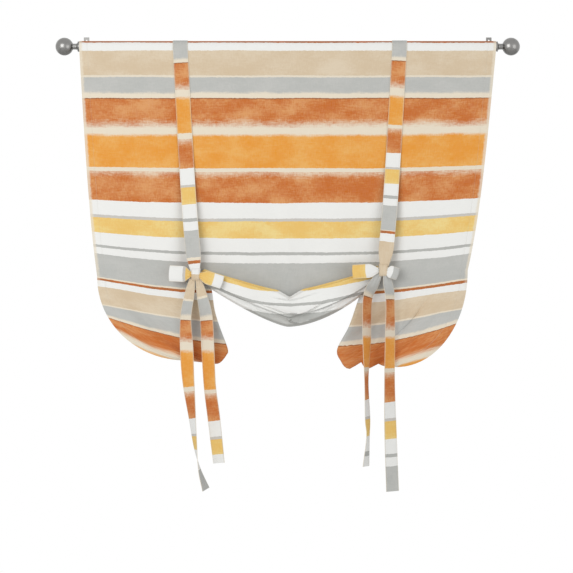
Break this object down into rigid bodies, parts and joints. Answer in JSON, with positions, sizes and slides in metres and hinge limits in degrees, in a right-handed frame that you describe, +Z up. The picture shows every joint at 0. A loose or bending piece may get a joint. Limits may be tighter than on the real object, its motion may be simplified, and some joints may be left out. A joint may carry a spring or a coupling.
{
  "type": "tie-up curtain",
  "caption": "Short striped curtain on a ball-ended rod, gathered up by two cloth ties with bows into a centre swag and hanging side flaps.",
  "frame": {"origin": "on the wall plane, midway between the two wall brackets and level with the middle of the rod", "axes": "+X to the right as seen from the room, along the rod; +Y into the wall; +Z up; the room is on the -Y side"},
  "size_m": [1.1894, 0.1321, 1.1666],
  "materials": {
    "striped_cloth": "woven striped cotton",
    "left_front_tie_cloth": "woven striped cotton",
    "left_back_tie_cloth": "woven striped cotton",
    "right_front_tie_cloth": "woven striped cotton",
    "right_back_tie_cloth": "woven striped cotton",
    "outer_tube_metal": "satin nickel",
    "inner_tube_metal": "satin nickel",
    "left_finial_metal": "satin nickel",
    "right_finial_metal": "satin nickel",
    "left_bracket_metal": "satin nickel",
    "right_bracket_metal": "satin nickel"
  },
  "bodies": {
    "curtain_and_outer_tube": {"curtain_panel": "striped_cloth", "left_front_tie": "left_front_tie_cloth", "left_back_tie": "left_back_tie_cloth", "right_front_tie": "right_front_tie_cloth", "right_back_tie": "right_back_tie_cloth", "rod_outer_tube": "outer_tube_metal", "left_finial": "left_finial_metal", "left_wall_bracket": "left_bracket_metal", "right_wall_bracket": "right_bracket_metal"},
    "inner_tube": {"rod_inner_tube": "inner_tube_metal", "right_finial": "right_finial_metal"}
  },
  "joints": [
    {"name": "rod_slide", "type": "slide", "parent": "curtain_and_outer_tube", "child": "inner_tube", "axis": [1, 0, 0], "range_m": [0, 0.2]}
  ]
}
